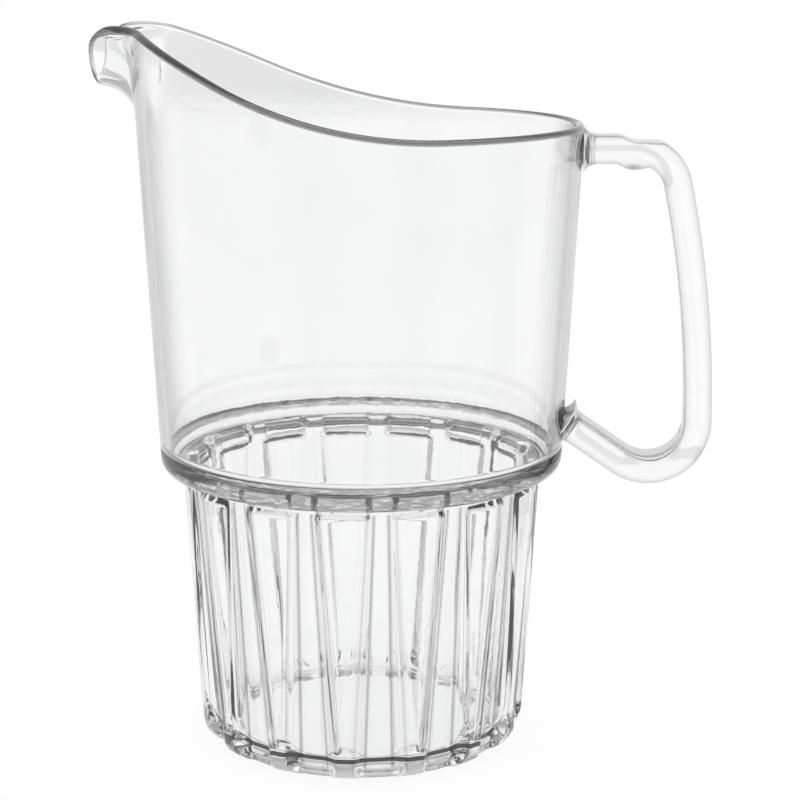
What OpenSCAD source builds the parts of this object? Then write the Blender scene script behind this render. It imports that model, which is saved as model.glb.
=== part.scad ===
// Clear moulded beer pitcher: a tapered barrel with a swept rim, a trough spout, a stepped shoulder,
// a fluted base, a raised floor and a loop handle. Millimetres, +Z up. The origin is where the axis of
// the body meets the table. The handle points along +X and the spout along -X.

/* [Barrel] */
// Outside radius of the barrel at its foot, on top of the shoulder
barrel_foot_r = 62; // [57:0.5:80]
// Growth of that radius from the shoulder up to the level stretch of the rim
barrel_lean = 5; // [1:0.1:12]
// Height of the barrel from the shoulder to the level stretch of the rim
barrel_h = 97.8; // [85:0.1:130]
// Thickness of the moulded walls
wall = 2.8; // [2:0.1:3.6]

/* [Rim and lip] */
// Rise from the level stretch of the rim to the top of the lip
lip_rise = 30; // [22:0.5:42]
// Slope of the straight run of the rim up to the lip, in degrees
rim_slope = 24.7; // [16:0.1:36]
// Radius of the sweep from the level stretch into the slope
rim_sweep_r = 150; // [60:1:200]
// Radius of the rounded nose of the lip, seen from the side
lip_round = 9.2; // [5:0.1:14]

/* [Spout] */
// Reach of the lip beyond the wall of the barrel
spout_reach = 12.3; // [8:0.1:18]
// Width across the outside of the trough
spout_w = 30; // [22:0.5:40]
// Depth of the trough at the lip, from the top of the lip to the underside
spout_d = 18.3; // [14:0.1:24]

/* [Shoulder] */
// Height of the shoulder ring
shoulder_h = 7.6; // [7.2:0.1:12]
// Step inwards from the foot of the barrel to the top of the base
shoulder_w = 6.9; // [6.6:0.1:10]
// Thickness of the ledge inside the shoulder
ledge_t = 3.6; // [2.4:0.1:4]
// Radius of the rounded edge under the shoulder
shoulder_round = 3.5; // [1:0.1:4]
// Radius of the fillet between the ledge and the wall of the barrel
ledge_fillet = 3.5; // [1:0.1:3.8]

/* [Fluted base] */
// Height of the base from the table to the underside of the shoulder
base_h = 85.9; // [60:0.1:120]
// Growth of the outside radius of the base from the table up to the shoulder
base_lean = 4.9; // [2:0.1:7]
// Radius of the rounding round the foot
foot_round = 6.5; // [3:0.1:8]
// Number of grooves round the base
groove_n = 15; // [8:1:17]
// Width of a groove between its brinks at the foot
groove_w = 16.8; // [12:0.1:18]
// Width of the floor of a groove at the foot
groove_floor_w = 8; // [5:0.1:10]
// Depth of a groove at the foot
groove_d = 3.4; // [2:0.1:4]
// Size of a groove at its top, as a share of its size at the foot
groove_top_share = 0.5; // [0.3:0.01:0.8]
// Plain band between the tops of the grooves and the shoulder
groove_gap = 2.3; // [1:0.1:6]
// Height of the slanted toe at the foot of a groove
toe_h = 4; // [2:0.1:7]
// Depth of that toe, measured inwards
toe_d = 2.2; // [0.5:0.1:2.6]
// Turn of the grooves about the axis of the body, in degrees
groove_turn = -6.9; // [-12:0.1:12]
// Height of the slanted lead-in round the mouth of the base, inside
lead_h = 4; // [2:0.1:8]
// Level land left round that mouth
lead_land = 1; // [0.5:0.1:2]

/* [Floor] */
// Height of the inside of the floor above the table
floor_z = 6; // [5:0.1:12]
// Thickness of the floor
floor_t = 3; // [2:0.1:4.5]
// Width of the foot, from the outside radius of the base to the recess under the floor
foot_w = 11.6; // [11:0.1:16]
// Radius of the fillet between the floor and the wall, inside
floor_fillet = 8.3; // [3:0.1:8.6]

/* [Handle] */
// Thickness of the bar in the plane of the loop
bar_t = 8.2; // [6:0.1:11]
// Width of the bar across the loop
bar_w = 17; // [13:0.5:24]
// Extra fullness of the grip and the arms over the bends, each side
grip_swell = 0.15; // [0.1:0.05:0.5]
// Drop from the level rim to the middle of the upper arm
arm_drop = 7.6; // [7:0.1:16]
// Clear gap for the fingers between the rim radius and the grip
finger_gap = 31.6; // [26:0.1:42]
// Height of the lower end of the grip above the shoulder
grip_foot = 7.9; // [4:0.1:16]
// Radius of the slow curve of the grip
grip_r = 336; // [200:1:600]
// Radius of the upper bend, to the middle of the bar
upper_bend_r = 12.7; // [9:0.1:20]
// Radius of the lower bend, to the middle of the bar
lower_bend_r = 15; // [10:0.1:20]
// Rise of the lower arm towards the body, in degrees
lower_arm_rise = 34; // [25:0.5:45]
// Depth of the flat thumb rest
thumb_d = 2; // [0.5:0.1:3]
// Run of the slope into the thumb rest
thumb_run = 4.5; // [2:0.1:8]
// Start of that slope, measured back from the middle of the upper bend
thumb_back = 5; // [3:0.1:8]
// Drop of the swell under the thumb rest
swell_drop = 1.9; // [0.5:0.1:3]
// Radius of that swell
swell_r = 5; // [3.5:0.1:7]
// Extra radius of the flared root where the bar meets the wall
flare = 2.2; // [0.5:0.1:2.6]
// Length of that flare
flare_len = 3.2; // [1:0.1:6]

/* [Hidden] */
$fn = 120;
clear_plastic = [0.93, 0.95, 0.96, 0.55];
// One overrun for every cut
overrun = 5;
// A rounding stands this far into its straight neighbours, so they meet in clean edges
blend = 0.01;
// The throat starts this far inside the outer face of the barrel, so the two faces blend
throat_sink = 0.2;
// The bends of the handle run this far into the arms and the grip
bend_lap = 0.6;
// Spare turn of the trough past the lip, in degrees, trimmed off by the front of the rim
trough_spare = 10;

// Radii, worked out from the foot of the barrel
barrel_rim_r = barrel_foot_r + barrel_lean;
base_top_r = barrel_foot_r - shoulder_w;
base_foot_r = base_top_r - base_lean;
floor_r = base_foot_r - foot_w;

// Levels, built up from the table
shoulder_z = base_h;
ledge_z = shoulder_z + ledge_t;
barrel_z = shoulder_z + shoulder_h;
rim_z = barrel_z + barrel_h;
lip_z = rim_z + lip_rise;

// Radii of the tapered faces at a level
barrel_taper = barrel_lean / barrel_h;
base_taper = base_lean / base_h;
function barrel_r(z) = barrel_foot_r + (z - barrel_z) * barrel_taper;
function base_r(z) = base_foot_r + z * base_taper;

// Throat of the spout, where the wall turns outwards
throat_r = spout_reach + throat_sink;
throat_z = lip_z - spout_d - throat_r;
lip_x = -(barrel_r(throat_z) + spout_reach);

// Rim seen from the side: nose of the lip, straight run, sweep, level stretch
nose = [lip_x + lip_round, lip_z - lip_round];
run_top = nose + lip_round * [sin(rim_slope), cos(rim_slope)];
turn_x = run_top.x + (run_top.y - rim_z) / tan(rim_slope);
sweep_len = rim_sweep_r * tan(rim_slope / 2);
run_foot = [turn_x - sweep_len * cos(rim_slope), rim_z + sweep_len * sin(rim_slope)];

// Middle line of the handle
arm_z = rim_z - arm_drop;
grip_x = barrel_rim_r + finger_gap + bar_t / 2;
grip_z = barrel_z + grip_foot;
upper_bend_z = arm_z - upper_bend_r;
grip_turn = asin((upper_bend_z - grip_z) / (grip_r - upper_bend_r));
upper_bend_x = grip_x - grip_r + (grip_r - upper_bend_r) * cos(grip_turn);
lower_bend_x = grip_x - lower_bend_r;
lower_sweep = 90 + lower_arm_rise;
lower_arm_x = lower_bend_x + lower_bend_r * cos(-lower_sweep);
lower_arm_z = grip_z + lower_bend_r * sin(-lower_sweep);
upper_root_x = barrel_r(arm_z);
lower_arm_len = (lower_arm_x - barrel_foot_r) / cos(lower_arm_rise);
half_flat = (bar_w - bar_t) / 2;

// Solid inside the outer face of the barrel and shoulder, from the table up
module body_cone() {
    cylinder(h = lip_z + overrun, r1 = barrel_r(0), r2 = barrel_r(lip_z + overrun));
}

// Everything under the rim, seen from the side
module rim_profile() {
    far_x = barrel_r(lip_z) + overrun;
    peak = [lip_x, run_top.y + (run_top.x - lip_x) * tan(rim_slope)];
    past_nose = nose + (lip_round + overrun) * [sin(rim_slope), cos(rim_slope)];
    sweep_end = [turn_x + sweep_len, rim_z];
    difference() {
        polygon([[lip_x, 0], peak, run_foot, sweep_end, [far_x, rim_z], [far_x, 0]]);
        difference() {
            polygon([nose, [lip_x - overrun, nose.y], [lip_x - overrun, peak.y + overrun], past_nose]);
            translate(nose) circle(lip_round + blend);
        }
        translate([sweep_end.x, rim_z + rim_sweep_r]) circle(rim_sweep_r);
    }
}

module under_rim() {
    rotate([90, 0, 0])
        linear_extrude(height = 2 * (barrel_r(lip_z) + overrun), center = true)
            rim_profile();
}

// Section of the trough: a round bottom between straight sides, drawn in from its outer face by inset
module trough_section(inset) {
    half_w = spout_w / 2;
    inner_half = half_w - inset;
    span = lip_z - throat_z + barrel_r(lip_z) - barrel_r(throat_z) + spout_reach;
    difference() {
        translate([throat_r + inset, -inner_half]) square([span, 2 * inner_half]);
        difference() {
            translate([throat_r - overrun, -spout_w]) square([half_w + overrun, 2 * spout_w]);
            translate([throat_r + half_w, 0]) circle(inner_half);
        }
    }
}

// Trough of the spout, swept round its throat
module trough(inset) {
    translate([lip_x, 0, throat_z])
        rotate([90, 0, 0])
            rotate_extrude(angle = 90 + trough_spare)
                trough_section(inset);
}

module barrel() {
    top_z = lip_z + overrun;
    color(clear_plastic)
        difference() {
            intersection() {
                rotate_extrude()
                    polygon([
                        [barrel_foot_r - wall, barrel_z], [barrel_foot_r, barrel_z],
                        [barrel_r(top_z), top_z], [barrel_r(top_z) - wall, top_z]
                    ]);
                under_rim();
            }
            trough(wall);
        }
}

module pouring_spout() {
    color(clear_plastic)
        difference() {
            intersection() {
                trough(0);
                under_rim();
            }
            trough(wall);
            body_cone();
        }
}

// Waste outside the rounding of a lower outer corner
module lower_corner(centre, r) {
    difference() {
        translate([centre.x, centre.y - r - overrun]) square(r + overrun);
        translate(centre) circle(r + blend);
    }
}

module shoulder_ring() {
    round_z = shoulder_z + shoulder_round;
    fillet_z = ledge_z + ledge_fillet;
    fillet_r = barrel_r(fillet_z) - wall;
    color(clear_plastic)
        rotate_extrude()
            difference() {
                polygon([
                    [base_top_r, shoulder_z], [barrel_r(shoulder_z), shoulder_z], [barrel_foot_r, barrel_z],
                    [barrel_foot_r - wall, barrel_z], [fillet_r, fillet_z],
                    [fillet_r - ledge_fillet, ledge_z], [base_top_r, ledge_z]
                ]);
                lower_corner([barrel_r(round_z) - shoulder_round, round_z], shoulder_round);
                translate([fillet_r - ledge_fillet, fillet_z]) circle(ledge_fillet);
            }
}

// Lofted solid through rings of points, listed from the lowest up
module loft(rings) {
    n = len(rings[0]);
    last = len(rings) - 1;
    polyhedron(
        points = [for (ring = rings) each ring],
        faces = concat(
            [[for (i = [0 : n - 1]) i]],
            [for (k = [0 : last - 1], i = [0 : n - 1])
                [k * n + i, (k + 1) * n + i, (k + 1) * n + (i + 1) % n, k * n + (i + 1) % n]],
            [[for (i = [n - 1 : -1 : 0]) last * n + i]]
        )
    );
}

// A flute narrows upwards as a slice of a pyramid, so its floor and flanks are flat
groove_z = shoulder_z - groove_gap;
flank = (groove_w - groove_floor_w) / 2 / groove_d;
function flute_share(z) = 1 - (1 - groove_top_share) * z / groove_z;

// Section of a flute at level z, with its crown at radius r, widened by extra and sunk by toe
function flute_ring(z, r, extra, toe) =
    let (s = flute_share(z))
    let (half_floor = (groove_floor_w / 2 + extra) * s)
    let (half_crown = half_floor + flank * (groove_d + overrun) * s)
    let (low = r - groove_d * s - toe)
    let (high = r + overrun * s)
    [[low, -half_floor, z], [high, -half_crown, z], [high, half_crown, z], [low, half_floor, z]];

module each_flute() {
    for (i = [0 : groove_n - 1])
        rotate(groove_turn + i * 360 / groove_n)
            children();
}

module groove() {
    loft([
        flute_ring(-overrun, base_r(0), 0, toe_d * (toe_h + overrun) / toe_h),
        flute_ring(toe_h, base_r(toe_h), 0, 0),
        flute_ring(groove_z, base_r(groove_z), 0, 0)
    ]);
}

// The ridge inside follows the groove outside, one wall thickness behind it
module ridge() {
    extra = wall * tan(atan(flank) / 2);
    loft([
        flute_ring(0, base_r(0) - wall, extra, 0),
        flute_ring(ledge_z + overrun, base_r(ledge_z + overrun) - wall, extra, 0)
    ]);
}

// Outline of the base as a body of revolution, grooves not yet cut
module base_envelope() {
    rotate_extrude()
        difference() {
            polygon([
                [floor_r, 0], [base_foot_r, 0], [base_top_r, shoulder_z], [base_top_r, ledge_z], [floor_r, ledge_z]
            ]);
            lower_corner([base_r(foot_round) - foot_round, foot_round], foot_round);
        }
}

// Space inside the base, ridges not yet left standing
module base_hollow() {
    fillet_z = floor_z + floor_fillet;
    top_z = ledge_z + overrun;
    rotate_extrude()
        difference() {
            polygon([[0, floor_z], [base_r(floor_z) - wall, floor_z], [base_r(top_z) - wall, top_z], [0, top_z]]);
            lower_corner([base_r(fillet_z) - wall - floor_fillet, fillet_z], floor_fillet);
        }
}

// Slanted lead-in round the mouth of the base, between the ridges
module mouth_lead() {
    slope = (wall - lead_land) / lead_h;
    mouth_r = base_top_r - lead_land;
    translate([0, 0, ledge_z - 2 * lead_h])
        cylinder(h = 2 * lead_h + overrun, r1 = mouth_r - 2 * lead_h * slope, r2 = mouth_r + overrun * slope);
}

module fluted_base() {
    color(clear_plastic)
        difference() {
            base_envelope();
            each_flute() groove();
            difference() {
                union() {
                    base_hollow();
                    mouth_lead();
                }
                each_flute() ridge();
            }
        }
}

module base_floor() {
    color(clear_plastic)
        translate([0, 0, floor_z - floor_t])
            cylinder(h = floor_t, r = floor_r);
}

// Section of the bar: flat faces towards the fingers and the palm, round edges, grown by extra all round
module bar_section(extra) {
    edge_r = bar_t / 2 + extra;
    difference() {
        square([2 * edge_r, 2 * (half_flat + edge_r)], center = true);
        for (side = [-1, 1])
            translate([0, side * half_flat])
                difference() {
                    translate([0, side * edge_r]) square([4 * edge_r, 2 * edge_r], center = true);
                    circle(edge_r);
                }
    }
}

// Curved run of the bar, carried on by lap at both ends
module bar_arc(x, z, r, from, sweep, extra, lap) {
    lap_turn = asin(lap / r);
    translate([x, 0, z])
        rotate([90, 0, 0])
            rotate([0, 0, from - lap_turn])
                rotate_extrude(angle = sweep + 2 * lap_turn)
                    translate([r, 0]) bar_section(extra);
}

// Straight run of the bar with a flared root at its start
module bar_root(len) {
    edge_r = bar_t / 2 + grip_swell;
    for (side = [-1, 1])
        translate([0, side * half_flat, 0])
            cylinder(h = flare_len, r1 = edge_r + flare, r2 = edge_r);
    rotate([90, 0, 0])
        linear_extrude(height = 2 * half_flat, center = true)
            polygon([[-edge_r - flare, 0], [edge_r + flare, 0], [edge_r, flare_len], [-edge_r, flare_len]]);
    linear_extrude(height = len) bar_section(grip_swell);
}

// The bends run a little way into the arms and the grip, which are slightly fuller
module handle_bar() {
    translate([upper_root_x, 0, arm_z])
        rotate([0, 90, 0])
            bar_root(upper_bend_x - upper_root_x);
    bar_arc(upper_bend_x, upper_bend_z, upper_bend_r, grip_turn, 90 - grip_turn, 0, bend_lap);
    bar_arc(grip_x - grip_r, grip_z, grip_r, 0, grip_turn, grip_swell, 0);
    bar_arc(lower_bend_x, grip_z, lower_bend_r, -lower_sweep, lower_sweep, 0, bend_lap);
    translate([lower_arm_x, 0, lower_arm_z])
        rotate([0, lower_arm_rise - 90, 0])
            translate([0, 0, lower_arm_len])
                mirror([0, 0, 1])
                    bar_root(lower_arm_len);
}

// Swell under the thumb rest
module thumb_swell() {
    translate([upper_bend_x - thumb_back + thumb_run, 0, arm_z - bar_t / 2 - swell_drop + swell_r])
        rotate([90, 0, 0])
            cylinder(h = 2 * half_flat, r = swell_r, center = true);
}

// Flat cut for the thumb, with a slope down from the arm
module thumb_cut() {
    top = arm_z + bar_t / 2;
    start_x = upper_bend_x - thumb_back;
    far_x = grip_x + bar_t;
    rotate([90, 0, 0])
        linear_extrude(height = 2 * bar_w, center = true)
            polygon([
                [start_x, top], [start_x + thumb_run, top - thumb_d], [far_x, top - thumb_d],
                [far_x, top + overrun], [start_x, top + overrun]
            ]);
}

module handle() {
    color(clear_plastic)
        difference() {
            union() {
                handle_bar();
                thumb_swell();
            }
            thumb_cut();
            body_cone();
        }
}

barrel();
pouring_spout();
shoulder_ring();
fluted_base();
base_floor();
handle();
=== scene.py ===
from math import atan, atan2, cos, exp, hypot, pi, radians, sin, sqrt, tan

import bmesh
import bpy
from bpy.props import FloatProperty, FloatVectorProperty, IntProperty, PointerProperty
from mathutils import Matrix, Vector


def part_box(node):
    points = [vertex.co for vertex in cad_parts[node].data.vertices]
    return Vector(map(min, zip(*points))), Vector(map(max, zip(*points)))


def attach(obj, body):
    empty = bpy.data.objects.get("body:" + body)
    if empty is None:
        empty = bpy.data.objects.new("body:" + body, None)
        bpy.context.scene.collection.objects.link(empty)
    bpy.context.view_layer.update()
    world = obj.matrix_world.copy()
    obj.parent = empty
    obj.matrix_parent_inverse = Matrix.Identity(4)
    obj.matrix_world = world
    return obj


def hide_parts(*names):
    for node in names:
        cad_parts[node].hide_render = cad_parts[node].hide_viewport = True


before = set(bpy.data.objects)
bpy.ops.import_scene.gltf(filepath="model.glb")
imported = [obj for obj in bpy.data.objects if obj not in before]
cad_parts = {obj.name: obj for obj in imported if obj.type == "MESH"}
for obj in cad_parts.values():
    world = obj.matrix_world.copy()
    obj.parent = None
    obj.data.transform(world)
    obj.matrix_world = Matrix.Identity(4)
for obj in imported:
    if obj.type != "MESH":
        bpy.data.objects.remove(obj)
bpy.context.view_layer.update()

bl_info = {
    "name": "Clear Beer Pitcher",
    "version": (1, 0, 0),
    "blender": (4, 5, 0),
    "location": "3D View > Sidebar > Pitcher",
    "description": "Models a clear moulded beer pitcher and the white studio it stands in",
    "category": "Add Mesh",
}

BARREL_LOW, BARREL_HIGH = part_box("barrel")
SPOUT_LOW, SPOUT_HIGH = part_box("pouring_spout")
STEP_LOW, STEP_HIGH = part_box("shoulder_ring")
_, BASE_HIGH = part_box("fluted_base")
FLOOR_LOW, FLOOR_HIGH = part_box("base_floor")
_, HANDLE_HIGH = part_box("handle")

# Reach within which points are merged, and the gap that is left between pieces that touch, in metres.
WELD = 1e-6
GAP = 2e-5
# How much higher than in the solids the lip starts, before the softening of its bend lowers it, in metres.
LIP_RAISE = 0.0003
# How much wider and higher than in the solids the recess is, as a thick floor shows a dark band, in metres.
RECESS_WIDER = 0.003
RECESS_HIGHER = 0.0014
# Thickness of the bar of the solid handle, from which the middle of the grip is worked out, in metres.
SOLID_BAR = 0.0085
# Cuts across the rounded rim.
RIM_CUTS = 9
# Straight stretches of the base's section start this many roundings away from a corner.
CLEAR = 1.2
# Points up to this far outside the inner edge of the mouth's land follow the inside, in metres.
LAND_EDGE = 0.0005
# Points round the handle's bar, and the rings inside each of its ends, in metres from one to the next.
BAR_SEGMENTS = 36
CAP_INSETS = (0.0008, 0.0012)
# Values of the panels' wave between which a grey gap turns into a white panel.
PANEL_EDGE = (-0.75, -0.1)
# Drop of the studio floor below the part's foot, in metres, and points round it.
FLOOR_DROP = 0.0001
FLOOR_SEGMENTS = 96


def length(name, default, description):
    """A size in metres that the panel shows with its unit."""
    return FloatProperty(name=name, description=description, default=default, unit="LENGTH", precision=5)


def turn(name, default, description):
    """An angle, given here in degrees."""
    return FloatProperty(name=name, description=description, default=radians(default), subtype="ANGLE")


def share(name, default, description):
    """A plain factor between nought and one."""
    return FloatProperty(name=name, description=description, default=default, min=0.0, max=1.0,
                         subtype="FACTOR")


def colour(name, default, description):
    """A plain colour."""
    return FloatVectorProperty(name=name, description=description, default=default, min=0.0, max=1.0, size=3,
                               subtype="COLOR")


def count(name, default, least, description):
    """A whole number of like things."""
    return IntProperty(name=name, description=description, default=default, min=least)


class PitcherBarrelSizes(bpy.types.PropertyGroup):
    """Sizes of the tapered barrel and its swept rim."""

    foot_z: length("Foot Level", BARREL_LOW.z, "Level at which the barrel stands on the shoulder")
    foot_r: length("Foot Radius", STEP_HIGH.x, "Outside radius on top of the shoulder")
    rim_r: length("Rim Radius", BARREL_HIGH.x, "Outside radius at the level stretch of the rim")
    rim_z: length("Rim Level", 0.1913, "Level stretch of the rim, by the handle")
    wall: length("Wall", 0.0028, "Thickness of the moulded wall")
    slope: turn("Rim Slope", 25.6, "Slope of the straight run of the rim up to the lip")
    sweep: length("Rim Sweep", 0.15, "Radius of the sweep from the level stretch into the slope")
    columns: count("Columns", 220, 80, "Columns of faces round the wall")
    rows: count("Rows", 76, 20, "Rows of faces up each side of the wall")
    # The darkness of rim and lip is painted shade, put into the colour of the rounded rim.
    rim_painted_shade: share("Rim Tone", 0.95, "Darkness of the edge of the rim, where light is led away")
    lip_painted_shade: share("Lip Tone", 0.2, "Darkness of that edge at the lip")


class PitcherSpoutSizes(bpy.types.PropertyGroup):
    """Sizes of the trough that turns out of the barrel."""

    lip_x: length("Lip", SPOUT_LOW.x, "Front of the lip")
    lip_z: length("Lip Top", SPOUT_HIGH.z + LIP_RAISE, "Top of the lip before its bend is softened")
    nose: length("Lip Nose", 0.0092, "Radius of the rounded nose of the lip, seen from the side")
    half: length("Half Width", SPOUT_HIGH.y, "Half the width across the outside of the trough")
    depth: length("Lip Depth", 0.02, "From the top of the lip to the underside of the trough")
    throat: length("Throat", 0.0128, "Radius of the turn under the trough")
    fold: length("Fold", 0.0075, "Reach of the soft fold between wall and trough")
    flare: share("Side Flare", 0.22, "Lean of the sides of the trough")


class PitcherBaseSizes(bpy.types.PropertyGroup):
    """Sizes of the shoulder step and the fluted base."""

    step_z: length("Shoulder", STEP_LOW.z, "Level of the underside of the shoulder")
    ledge_z: length("Ledge", BASE_HIGH.z, "Level of the ledge inside the shoulder")
    step_round: length("Shoulder Round", 0.0035, "Rounding of the lower edge of the shoulder")
    ledge_round: length("Ledge Fillet", 0.0035, "Fillet between the ledge and the barrel")
    # The streaks on the shoulder are painted shade; this sets how much of it falls on the ledge.
    ledge_streak: share("Ledge Streaks", 0.05, "Strength of the streaks on the ledge against those outside")
    neck_r: length("Neck Radius", BASE_HIGH.x, "Outside radius of the base under the shoulder")
    lean: length("Lean", 0.0049, "Growth of the radius from table to shoulder")
    foot_round: length("Foot Round", 0.0065, "Rounding round the foot")
    recess_r: length("Recess Radius", FLOOR_HIGH.x + RECESS_WIDER, "Radius of the recess under the floor")
    recess_z: length("Recess Height", FLOOR_LOW.z + RECESS_HIGHER, "Height of the underside of the floor")
    floor_z: length("Floor", FLOOR_HIGH.z, "Height of the inside of the floor")
    floor_round: length("Floor Fillet", 0.0083, "Fillet between the floor and the wall")
    recess_round: length("Recess Fillet", 0.003, "Fillet between the recess and the underside of the floor")
    ring_round: length("Ring Round", 0.0006, "Rounding of the inner edge of the foot ring")
    edge_round: length("Edge Round", 0.0003, "Rounding of the edges where base and shoulder meet")
    land_round: length("Land Round", 0.0004, "Rounding of the inner edge of the mouth's land")
    flutes: count("Flutes", 15, 6, "Grooves round the base")
    flute_turn: turn("Flute Turn", -6.9, "Turn of the grooves about the axis")
    flute_w: length("Flute Width", 0.0164, "Width of a groove at the foot")
    flute_floor: length("Flute Floor", 0.0084, "Width of the floor of a groove at the foot")
    flute_d: length("Flute Depth", 0.0044, "Depth of a groove at the foot")
    flute_top: share("Flute Top", 0.5, "Width of a groove at its top against its width at the foot")
    flute_rise: share("Flute Rise", 0.36, "Depth of a groove at its top against its depth at the foot")
    flute_gap: length("Flute Gap", 0.0023, "Plain band between the grooves and the shoulder")
    lobe_round: length("Lobe Top", 0.002, "Height of the rounded top edge of the lobes between the grooves")
    lobe_corner: length("Lobe Corner", 0.0024, "Radius of the upper corners of those lobes")
    flute_line: length("Flute Line", 0.0008, "Reach of the rounding along the edges of a groove")
    # The darkness of the groove edges and toes is painted shade, put into the colour of the base.
    line_painted_shade: share("Line Tone", 0.85, "Darkness of the edges of the grooves, where light is led away")
    toe_painted_shade: share("Toe Tone", 0.6, "Darkness of the toes of the grooves")
    toe_h: length("Toe Height", 0.004, "Height of the slanted toe of a groove")
    toe_d: length("Toe Depth", 0.0013, "Depth of that toe")
    lead_h: length("Mouth Lead", 0.004, "Height of the slanted lead-in round the mouth of the base")
    lead_land: length("Mouth Land", 0.001, "Level land round that mouth")


class PitcherHandleSizes(bpy.types.PropertyGroup):
    """Sizes of the loop handle."""

    bar_t: length("Bar Thickness", 0.0084, "Thickness of the bar in the plane of the loop")
    bar_w: length("Bar Width", 0.0172, "Width of the bar across the loop")
    arm_z: length("Arm Level", 0.1837, "Level of the middle of the upper arm")
    grip_x: length("Grip Reach", HANDLE_HIGH.x - SOLID_BAR / 2.0, "Middle of the grip at its furthest")
    grip_z: length("Grip Foot", 0.1014, "Level of the lower end of the grip")
    grip_r: length("Grip Curve", 0.336, "Radius of the slow curve of the grip")
    upper_r: length("Upper Bend", 0.0127, "Radius of the upper bend")
    lower_r: length("Lower Bend", 0.015, "Radius of the lower bend")
    rise: turn("Lower Arm Rise", 34.0, "Rise of the lower arm towards the body")
    flare: length("Root Flare", 0.0024, "Extra radius of the root at the wall")
    flare_len: length("Root Length", 0.0042, "Length of the flared root")
    thumb_d: length("Thumb Rest", 0.002, "Depth of the flat thumb rest")
    thumb_len: length("Thumb Slope", 0.0056, "Length of the slope of that rest, back from the upper bend")
    thumb_from: length("Thumb Start", 0.006, "Start of the rest, back from the upper bend")
    thumb_blend: length("Thumb Blend", 0.001, "Length in which the round bar turns into the rest")
    thumb_crown: share("Thumb Crown", 0.08, "Share of the round of the bar that is left on the rest")
    swell: length("Thumb Swell", 0.0019, "Drop of the swell under the thumb rest")
    swell_at: length("Swell Place", 0.0008, "Middle of the swell, back from the upper bend")
    swell_len: length("Swell Length", 0.0046, "Half the length of the swell")
    swell_w: length("Swell Width", 0.0075, "Half the width of the swell")
    swell_end: length("Swell End", 0.004, "Furthest that the swell runs into the upper bend")


class PitcherLook(bpy.types.PropertyGroup):
    """Colours and finish of the clear plastic, with the colours of its painted shade."""

    clear: colour("Clear", (0.985, 0.987, 0.988), "Colour through one wall")
    haze: colour("Haze", (0.96, 0.965, 0.967), "Colour where the skin is hazed by washing")
    # Edge, Shade and Outline Shade are painted shade in the colour: along edges, in streaks on the shoulder
    # and where the skin is seen edge on.
    edge: colour("Edge", (0.04, 0.04, 0.04), "Colour of edges, where light is led away")
    shade: colour("Shade", (0.2, 0.2, 0.2), "Colour of the streaks in the thick shoulder")
    outline_shade: share("Outline Shade", 0.8, "Darkness of the skin where it is seen edge on")
    gloss: share("Gloss", 0.015, "Roughness of the clean skin")
    worn: share("Wear", 0.07, "Roughness of the scuffed skin")
    scuff: share("Foot Scuff", 0.5, "Roughness of the worn lobes at the foot")
    index: FloatProperty(name="Index", description="Index of refraction", default=1.57, min=1.0)
    through: share("Through", 0.975, "Share of the light that goes into the plastic")


class PitcherStage(bpy.types.PropertyGroup):
    """Camera and studio."""

    eye: FloatVectorProperty(name="Camera", description="Place of the camera", size=3, subtype="TRANSLATION",
                             default=(0.0561, -0.6255, 0.2441))
    pitch: turn("Camera Tilt", 77.57, "Tilt of the camera from straight down")
    roll: turn("Camera Roll", -0.08, "Roll of the camera")
    yaw: turn("Camera Turn", 4.06, "Turn of the camera about the upright")
    lens: FloatProperty(name="Lens", description="Focal length in millimetres", default=93.78)
    floor_r: length("Floor Radius", 0.26, "Radius of the floor")
    floor_dark: share("Floor Dark", 0.11, "Paint of the floor in the darkest of its grain")
    floor_light: share("Floor Light", 0.13, "Paint of the floor in the lightest of its grain")
    floor_glow: share("Floor Glow", 0.89, "Light that the floor gives by itself")
    panels: count("Panels", 6, 1, "White panels round the studio")
    flag: share("Flag", 0.8, "Grey of the studio between its white panels")
    ceiling: share("Ceiling", 0.45, "Grey of the studio overhead")
    backdrop: share("Backdrop", 0.8, "Tone of the backdrop above the far edge of the table")
    under: share("Under Table", 0.5, "Grey of the studio below the table")


class PitcherSettings(bpy.types.PropertyGroup):
    """Everything a user would change."""

    barrel: PointerProperty(type=PitcherBarrelSizes)
    spout: PointerProperty(type=PitcherSpoutSizes)
    base: PointerProperty(type=PitcherBaseSizes)
    handle: PointerProperty(type=PitcherHandleSizes)
    look: PointerProperty(type=PitcherLook)
    stage: PointerProperty(type=PitcherStage)


def clamp(x):
    """The number itself between nought and one, or the nearer of these."""
    return min(1.0, max(0.0, x))


def ease(x):
    """Smooth step from nought to one."""
    x = clamp(x)
    return x * x * (3.0 - 2.0 * x)


def mix(a, b, w):
    """Straight mix of two numbers or vectors."""
    return a + (b - a) * w


def barrel_radius(s, z):
    """Outside radius of the barrel and shoulder at level z."""
    return s.foot_r + (z - s.foot_z) * (s.rim_r - s.foot_r) / (s.rim_z - s.foot_z)


def wire(bm, points, closed=False):
    """Chain of edges through a few points in the upright plane, given as (radius, height)."""
    verts = [bm.verts.new((r, 0.0, z)) for r, z in points]
    ends = verts[1:] + verts[:1] if closed else verts[1:]
    return [bm.edges.new(pair) for pair in zip(verts, ends)]


def round_off(bm, spot, offset, segments):
    """Rounds the corner of a wire that lies at spot, given as (radius, height)."""
    corner = min(bm.verts, key=lambda v: hypot(v.co.x - spot[0], v.co.z - spot[1]))
    bmesh.ops.bevel(bm, geom=[corner], offset=offset, offset_type="OFFSET", segments=segments, profile=0.5,
                    affect="VERTICES", material=-1)


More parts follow.
